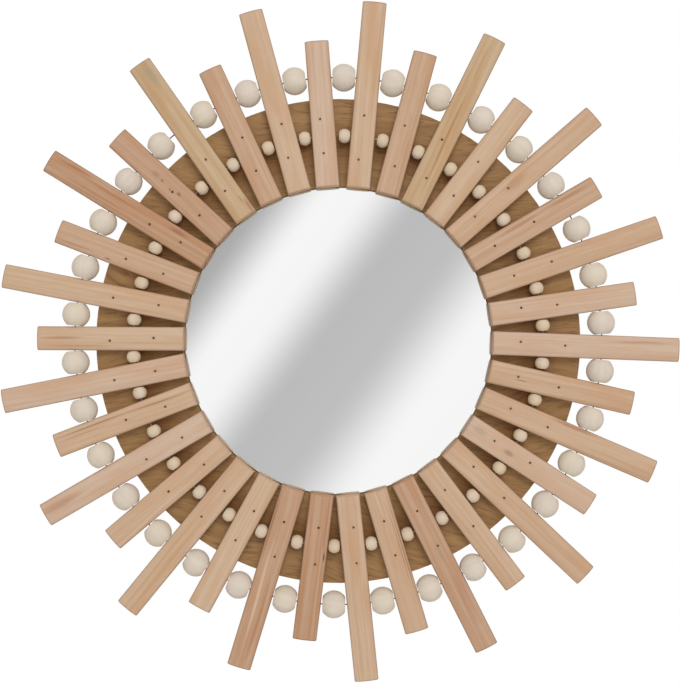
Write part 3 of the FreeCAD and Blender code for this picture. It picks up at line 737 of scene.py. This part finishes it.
def mark_values(marks, tilt, count):
    """The place, size and colour of each of a slat's marks, on every point of its mesh.

    A place is moved across as far as the grain's tilt moves the grain there.
    """
    values = {}
    for order in range(MARKS_PER_SLAT):
        mark = marks[order] if order < len(marks) else NO_MARK
        side = mark["side"] + tilt * (GRAIN_MIDDLE - mark["along"])
        rows = {
            "place": (mark["along"], side, 0),
            "size": (mark["half_length"], mark["half_width"], 1),
            "colour": (*mark["shade"][:3], mark["depth"]),
        }
        for label, row in rows.items():
            values[f"mark_{order}_{label}"] = np.tile(row, (count, 1))
    return values


def find_brads():
    """Where each slat's two brads stand, inner and outer, from the solid model."""
    points = node_points("brads")
    numbers = np.round(clockwise(points) / PLACE_STEP).astype(int) % PLACES
    away = from_axis(points)
    outer = away > (away.min() + away.max()) / 2
    found = np.empty((PLACES, 2, 3))
    for number in range(PLACES):
        for order in range(2):
            found[number, order] = box_middle(points[(numbers == number) & (outer == bool(order))])
    return found


def mark(shade, depth, along, side, half_length, half_width):
    """A mark in a slat's wood, in millimetres from the mirror's axis and, anticlockwise, across."""
    return {
        "shade": shade,
        "depth": depth,
        "along": along / 1000,
        "side": side / 1000,
        "half_length": half_length / 1000,
        "half_width": half_width / 1000,
    }


# Tints of the slats and of the marks in their wood, as they look on screen
PINKISH = srgb(206, 175, 150)
LIGHT = srgb(204, 172, 142)
TAN = srgb(202, 168, 138)
WARM = srgb(197, 161, 131)
REDDISH = srgb(192, 153, 123)
RUSSET = srgb(187, 145, 112)
YELLOWISH = srgb(197, 166, 130)
SLAT_TINTS = [
    PINKISH, TAN, TAN, PINKISH, TAN, TAN, REDDISH, TAN, TAN, RUSSET, REDDISH, LIGHT,
    LIGHT, LIGHT, PINKISH, LIGHT, PINKISH, LIGHT, LIGHT, WARM, RUSSET, REDDISH, YELLOWISH, WARM,
    LIGHT, PINKISH, LIGHT, WARM, YELLOWISH, LIGHT, TAN, WARM, TAN, PINKISH,
]
STREAK = srgb(168, 112, 78)
GRAIN_LINE = srgb(136, 98, 60)
OCHRE = srgb(184, 138, 84)
KNOT = srgb(134, 86, 68)
GREYISH = srgb(164, 152, 124)
PALE = srgb(222, 194, 164)
CRACK = srgb(70, 36, 28)
NO_MARK = mark(TAN, 0, 0, 0, 1, 1)

# The slats that have marks of their own, by their numbers from 1
SLAT_MARKS = {
    1: [mark(STREAK, 0.4, 310, 5.5, 45, 2.2)],
    2: [mark(CRACK, 0.5, 192, -2.5, 9, 0.8)],
    3: [mark(STREAK, 0.65, 256, 9.5, 34, 2.6), mark(PALE, 0.3, 230, -6, 70, 4)],
    4: [mark(KNOT, 0.45, 209, -1, 8, 3.5), mark(GREYISH, 0.45, 172, 2.4, 12, 6)],
    7: [mark(GREYISH, 0.7, 243, 1.5, 14, 2.4), mark(STREAK, 0.3, 290, 4, 50, 6)],
    8: [mark(GRAIN_LINE, 0.65, 225, 10.2, 75, 1.0), mark(GRAIN_LINE, 0.5, 222, 7.4, 65, 0.9)],
    10: [mark(CRACK, 0.9, 222, 9.2, 7, 1.1), mark(STREAK, 0.5, 190, 6.8, 40, 2)],
    11: [
        mark(GRAIN_LINE, 0.6, 200, -10, 48, 1.2),
        mark(STREAK, 0.5, 300, 5, 65, 2),
        mark(PALE, 0.6, 270, -2.4, 75, 2.4),
    ],
    15: [mark(STREAK, 0.45, 330, -2, 34, 7)],
    16: [
        mark(GRAIN_LINE, 0.6, 265, -6.2, 55, 1.1),
        mark(GRAIN_LINE, 0.5, 198, -5, 42, 1.3),
        mark(STREAK, 0.4, 280, -2, 40, 1.2),
    ],
    18: [mark(STREAK, 0.5, 285, -1, 30, 2.4), mark(STREAK, 0.4, 262, 7.8, 48, 1.6)],
    20: [mark(STREAK, 0.5, 286, 6.5, 28, 2), mark(KNOT, 0.7, 251, 8.5, 5, 1.8)],
    21: [
        mark(STREAK, 0.8, 322, -6.4, 28, 2.6),
        mark(STREAK, 0.65, 290, 4.6, 60, 1.5),
        mark(STREAK, 0.6, 275, -4.4, 45, 1.6),
        mark(KNOT, 0.5, 198, -6.8, 15, 3),
    ],
    22: [
        mark(KNOT, 0.6, 244, 1.5, 3, 2.2),
        mark(KNOT, 0.7, 232, 3, 2.2, 1.6),
        mark(KNOT, 0.75, 222, -0.3, 3.6, 2.6),
        mark(KNOT, 0.3, 253, 1, 8, 4),
    ],
    23: [
        mark(STREAK, 0.7, 166, -9.5, 14, 3),
        mark(GREYISH, 0.6, 334, -4, 20, 8),
        mark(GRAIN_LINE, 0.5, 176, -6.5, 7, 1),
    ],
    29: [
        mark(OCHRE, 0.75, 232, -1.4, 80, 2.6),
        mark(GRAIN_LINE, 0.4, 236, -0.6, 70, 0.9),
        mark(OCHRE, 0.5, 318, 2, 30, 2),
    ],
    31: [mark(STREAK, 0.3, 243, 2, 20, 8)],
    32: [mark(STREAK, 0.55, 277, 5.6, 36, 2.6), mark(STREAK, 0.5, 220, 5.5, 38, 2.4)],
}
STRONG_TILTS = {29: 0.044, 8: 0.02}


def make_slats(material):
    """Every slat, long and short."""
    brads = find_brads()
    radii = [node_points(f"{ring}_wire")[:, 0].max() - WIRE_RADIUS for ring in ("inner", "outer")]
    for kind, first in (("long", 0), ("short", 1)):
        node = f"{kind}_slats"
        points = node_points(node)
        order = np.round((clockwise(points) / PLACE_STEP - first) / 2).astype(int)
        for number in range(first, PLACES, 2):
            box = find_slat(points[order % (PLACES // 2) == number // 2])
            label = number + 1
            look = {
                "tint": SLAT_TINTS[number],
                "marks": SLAT_MARKS.get(label, ()),
                "tilt": STRONG_TILTS.get(label, USUAL_TILT * math.sin(7 * number)),
            }
            name = f"{kind}_slat_{label:02d}"
            make_slat(name, node, box, number, brads[number], radii, look, material)


# The beads and wires


def bead_outline(radius, half_width, rim):
    """A bead's section, as rows of distance from the bore's axis and place along it.

    A ball with flat ends. The rim's rounding is tangent to the ball from inside and to the flat
    end. The loop runs down the outside and back up the bore, whose two mouths are eased.
    """
    level = half_width - rim
    out = math.sqrt((radius - rim) ** 2 - level**2)
    meet = math.atan2(level, out)
    quarter = math.pi / 2
    mouth = BORE_RADIUS / 3
    flat = np.linspace(out, BORE_RADIUS + mouth, 5)[1:-1]
    parts = [
        arc((0, 0), radius, meet, -meet, 25)[1:-1],
        arc((out, -level), rim, -meet, -quarter, 9),
        np.stack([flat, np.full_like(flat, -half_width)], axis=1),
        arc((BORE_RADIUS + mouth, mouth - half_width), mouth, -quarter, -math.pi, 4),
        arc((BORE_RADIUS + mouth, half_width - mouth), mouth, math.pi, quarter, 4),
        np.stack([flat[::-1], np.full_like(flat, half_width)], axis=1),
        arc((out, level), rim, quarter, meet, 9),
    ]
    return np.concatenate(parts)


def bead_surface(outline, centre, around):
    """The section turned round a bore that lies along the ring: points and their own places."""
    heading = math.atan2(-centre[2], centre[0])
    away = np.array([math.cos(heading), 0, -math.sin(heading)])
    bore = np.array([-math.sin(heading), 0, -math.cos(heading)])
    aside = np.cross(bore, away)
    angles = np.linspace(0, math.tau, around, endpoint=False)[:, None]
    own = np.stack(
        np.broadcast_arrays(
            outline[:, 0] * np.cos(angles), outline[:, 0] * np.sin(angles), outline[:, 1]
        ),
        axis=-1,
    ).reshape(-1, 3)
    return centre + own @ np.array([away, aside, bore]), own


def make_large_beads(material):
    """The large beads, each on its own body, which turns on the outer wire."""
    outline = bead_outline(**LARGE_BEAD)
    quads = grid_faces(LARGE_BEAD_COLUMNS, len(outline), wrap_rows=True, wrap_columns=True)
    for number in range(PLACES):
        name = f"large_bead_{number + 1:02d}"
        centre = np.array(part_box(name)).mean(axis=0)
        points, own = bead_surface(outline, centre, LARGE_BEAD_COLUMNS)
        values = {
            "bead_place": own,
            "bead_seed": np.full(len(points), 5.3 * number),
            "bead_tone": np.full(len(points), number * 7 % 5 / 4),
        }
        piece = new_piece(f"turned_{name}", points, quads, point_values=values)
        settle(piece, name, "large_bead_wood", material, name)


def make_small_beads(material):
    """The small beads, in one piece as in the solid model. Each space holds one."""
    found = node_points("small_beads")
    numbers = np.round(clockwise(found) / PLACE_STEP - 0.5).astype(int) % PLACES
    outline = bead_outline(**SMALL_BEAD)
    quads = grid_faces(SMALL_BEAD_COLUMNS, len(outline), wrap_rows=True, wrap_columns=True)
    count = SMALL_BEAD_COLUMNS * len(outline)
    points = []
    places = []
    for number in range(PLACES):
        centre = box_middle(found[numbers == number])
        turned, own = bead_surface(outline, centre, SMALL_BEAD_COLUMNS)
        points.append(turned)
        places.append(own)
    each = np.repeat(np.arange(PLACES), count)
    values = {
        "bead_place": np.concatenate(places),
        "bead_seed": 4.1 * each,
        "bead_tone": each * 3 % 5 / 4,
    }
    faces = (quads[None] + count * np.arange(PLACES)[:, None, None]).reshape(-1, 4)
    piece = new_piece("turned_small_beads", np.concatenate(points), faces, point_values=values)
    settle(piece, "mirror_frame", "small_bead_wood", material, "small_beads")


def make_wire(ring, material):
    """One wire: a round section carried clockwise round the ring, with a gap at its ends."""
    node = f"{ring}_wire"
    points = node_points(node)
    away = from_axis(points)
    radius = (away.min() + away.max()) / 2
    level = (points[:, 1].min() + points[:, 1].max()) / 2
    turns = np.sort(clockwise(points))
    widest = np.argmax(np.diff(turns))
    path = np.linspace(turns[widest + 1], turns[widest] + math.tau, WIRE_ROWS)[:, None]
    section = np.linspace(0, math.tau, WIRE_COLUMNS, endpoint=False)[None]
    out = radius + WIRE_RADIUS * np.cos(section)
    points = np.stack(
        np.broadcast_arrays(
            out * np.cos(path), level - WIRE_RADIUS * np.sin(section), -out * np.sin(path)
        ),
        axis=-1,
    ).reshape(-1, 3)
    quads = grid_faces(WIRE_ROWS, WIRE_COLUMNS, wrap_columns=True)
    piece = new_piece(f"drawn_{node}", points, quads, end_caps(WIRE_ROWS, WIRE_COLUMNS))
    settle(piece, "mirror_frame", "steel_wire", material, node)


# The hanger screws


def screw_surface(turn):
    """A screw's points, round +Z, from its tip to the middle of its head.

    Its section is turned round the axis. On the head's top the height drops by the cross's
    depth inside either of two arms, with S-shaped walls.
    """
    flat = SCREW_HEAD_RADIUS - SCREW_HEAD_ROUND
    shoulder = SCREW_HEAD_HEIGHT - SCREW_HEAD_ROUND
    top = np.linspace(flat, CROSS_WALL, 26)[1:]
    section = np.concatenate(
        [
            [[CROSS_WALL, CROSS_WALL - SCREW_LENGTH], [SCREW_RADIUS, SCREW_RADIUS - SCREW_LENGTH]],
            [[SCREW_RADIUS, 0], [SCREW_HEAD_RADIUS, 0]],
            arc((flat, shoulder), SCREW_HEAD_ROUND, 0, math.pi / 2, 8),
            np.stack([top, np.full_like(top, SCREW_HEAD_HEIGHT)], axis=1),
        ]
    )
    angles = np.linspace(0, math.tau, SCREW_COLUMNS, endpoint=False)
    along = np.outer(section[:, 0], np.cos(angles))
    across = np.outer(section[:, 0], np.sin(angles))
    height = np.broadcast_to(section[:, 1:], along.shape)
    depth = np.zeros_like(along)
    for one, other in ((along, across), (across, along)):
        reach = smooth_step(np.abs(one), CROSS_REACH, CROSS_REACH + CROSS_WALL)
        aside = smooth_step(np.abs(other), CROSS_HALF_WIDTH, CROSS_HALF_WIDTH + CROSS_WALL)
        depth = np.maximum(depth, (1 - reach) * (1 - aside))
    height = height - CROSS_DEPTH * depth * (height > shoulder)
    turned_along = along * math.cos(turn) - across * math.sin(turn)
    turned_across = along * math.sin(turn) + across * math.cos(turn)
    return np.stack([turned_along, turned_across, height], axis=-1)


def make_screws(material):
    """The straps' screws, in one piece as in the solid model, each turned its own way."""
    found = node_points("hanger_screws")
    right = found[:, 0] > 0
    lower = found[:, 2] < box_middle(found)[2]
    points = []
    faces = []
    caps = []
    for number, turn in enumerate(SCREW_TURNS):
        own = found[(right == bool(number % 2)) & (lower == bool(number // 2))]
        middle = box_middle(own)
        screw = screw_surface(turn)
        rows, columns = screw.shape[:2]
        start = number * rows * columns
        along, across, height = np.moveaxis(screw, -1, 0)
        level = own[:, 1].max() - SCREW_HEAD_HEIGHT
        placed = np.stack([middle[0] + along, level + height, middle[2] - across], axis=-1)
        points.append(placed.reshape(-1, 3))
        faces.append(grid_faces(rows, columns, wrap_columns=True) + start)
        caps += [cap + start for cap in end_caps(rows, columns)]
    piece = new_piece("cross_screws", np.concatenate(points), np.concatenate(faces), caps)
    settle(piece, "mirror_frame", "screw_steel", material, "hanger_screws")


# What stays as the solid model has it


def dress_nodes(finishes):
    """Gives the nodes that stay their materials."""
    for name, material in finishes.items():
        mesh = nodes[name].data
        mesh.materials.clear()
        mesh.materials.append(material)


# The stage


def make_floor():
    """A pale floor that fades to white: a flat disc, by rings out to its edge."""
    turns = np.linspace(0, math.tau, FLOOR_COLUMNS, endpoint=False)
    points = np.stack(
        [
            np.outer(FLOOR_RINGS, np.cos(turns)),
            FLOOR_MIDDLE + np.outer(FLOOR_RINGS, np.sin(turns)),
            np.full((FLOOR_RINGS.size, FLOOR_COLUMNS), FLOOR_LEVEL),
        ],
        axis=-1,
    ).reshape(-1, 3)
    quads = grid_faces(FLOOR_RINGS.size, FLOOR_COLUMNS, wrap_columns=True)[:, ::-1]
    floor = new_piece("floor", points, quads, [np.arange(FLOOR_COLUMNS)])
    finish = Finish("floor_paint")
    finish.set(Base_Color=srgb(238, 238, 236), Roughness=0.9, Specular_IOR_Level=0.1)
    middle = (0, FLOOR_MIDDLE, FLOOR_LEVEL)
    away = finish.vector_maths("DISTANCE", finish.place(), middle, output="Value")
    rays = finish.add("ShaderNodeLightPath").outputs
    seen = finish.maths("MAXIMUM", rays["Is Camera Ray"], rays["Is Glossy Ray"])
    fade = finish.maths("MULTIPLY", seen, finish.between(away, *FLOOR_FADE))
    white = finish.add("ShaderNodeEmission", {"Color": WHITE, "Strength": 1.0})
    mixed = finish.mix_shaders(fade, finish.shader, white)
    finish.feed(finish.tree.nodes["Material Output"].inputs["Surface"], mixed.outputs[0])
    floor.data.materials.append(finish.material)


def add_key_light():
    """A large, square, soft light above and before the mirror, turned to it."""
    data = bpy.data.lights.new("soft_key", "AREA")
    data.shape = "SQUARE"
    data.size = KEY_SIZE
    data.energy = KEY_POWER
    light = bpy.data.objects.new("soft_key", data)
    light.location = KEY_PLACE
    light.rotation_euler = (-Vector(KEY_PLACE)).to_track_quat("-Z", "Y").to_euler()
    bpy.context.scene.collection.objects.link(light)


def make_world():
    """White to the camera, a soft tent to matt surfaces, and soft bands to shiny ones.

    The tent is nearly even, and brighter behind. The bands are the studio's panels. They lie
    across a line that slopes down to the right, and the place along it is the angle between a
    direction and the mirror's own.
    """
    world = bpy.data.worlds.new("studio")
    bpy.context.scene.world = world
    world.use_nodes = True
    sky = NodeTree(world.node_tree)
    direction = sky.add("ShaderNodeTexCoord").outputs["Generated"]
    slope = math.radians(PANEL_SLOPE)
    down_right = (math.cos(slope), 0, -math.sin(slope))
    along = sky.vector_maths("DOT_PRODUCT", direction, down_right, output="Value")
    ahead = sky.parts(direction)["Y"]
    angle = sky.maths("ARCTAN2", along, sky.maths("MULTIPLY", ahead, -1.0))
    spread = math.radians(PANEL_SPREAD)
    where = sky.maths("MULTIPLY_ADD", angle, 1 / spread, 0.5)
    stops = [
        (0.5 + math.radians(degrees) / spread, srgb(level, level, level))
        for degrees, level in PANELS
    ]
    bands = sky.ramp(where, stops, "EASE")
    rays = sky.add("ShaderNodeLightPath").outputs
    white = sky.add("ShaderNodeBackground", {"Color": WHITE, "Strength": 1.0})
    front = sky.between(ahead, **TENT_FRONT)
    tent = sky.maths("ADD", front, sky.between(ahead, **TENT_BEHIND))
    fill = sky.add("ShaderNodeBackground", {"Color": WHITE, "Strength": tent})
    studio = sky.add("ShaderNodeBackground", {"Color": bands, "Strength": 1.0})
    shiny = sky.maths("MAXIMUM", rays["Is Glossy Ray"], rays["Is Transmission Ray"])
    unseen = sky.mix_shaders(shiny, fill, studio)
    everything = sky.mix_shaders(rays["Is Camera Ray"], unseen, white)
    sky.feed(sky.tree.nodes["World Output"].inputs["Surface"], everything.outputs[0])


def add_camera():
    """The photograph's view: square on, with the long slats' tips at the frame's edges."""
    data = bpy.data.cameras.new("camera")
    data.lens = CAMERA_LENS
    data.sensor_width = CAMERA_SENSOR
    data.clip_start = CAMERA_CLIP
    camera = bpy.data.objects.new("camera", data)
    camera.location = CAMERA_PLACE
    camera.rotation_euler = (math.pi / 2, 0, 0)
    bpy.context.scene.collection.objects.link(camera)
    bpy.context.scene.camera = camera


raw = raw_wood()
stained = stained_wood()
large_wood = bead_wood(
    "large_bead_wood", srgb(222, 209, 195), srgb(223, 210, 190), srgb(210, 195, 176)
)
small_wood = bead_wood(
    "small_bead_wood", srgb(222, 203, 180), srgb(221, 199, 170), srgb(204, 182, 154)
)
outer_steel = metal("dark_steel", srgb(74, 58, 44), srgb(52, 40, 30), 0.45)
inner_steel = metal("steel_wire", srgb(166, 158, 148), srgb(128, 120, 110), 0.3)
brad_steel = metal("steel_brad", srgb(150, 104, 76), srgb(104, 70, 50), 0.5)
hanger_steel = metal("hanger_steel", srgb(206, 204, 198), srgb(190, 188, 182), 0.28)
screw_steel = metal("screw_steel", srgb(214, 205, 178), srgb(192, 182, 154), 0.25)

make_slats(raw)
make_large_beads(large_wood)
make_small_beads(small_wood)
make_wire("outer", outer_steel)
make_wire("inner", inner_steel)
make_screws(screw_steel)
dress_nodes(
    {
        "backing_board": stained,
        "mirror_glass": silvered_glass(),
        "mirror_pads": foam(),
        "brads": brad_steel,
        "hanger_strap_left": hanger_steel,
        "hanger_strap_right": hanger_steel,
        "hang_ring_left": hanger_steel,
        "hang_ring_right": hanger_steel,
    }
)

make_floor()
add_key_light()
make_world()
add_camera()
bpy.context.scene.view_settings.view_transform = "Standard"
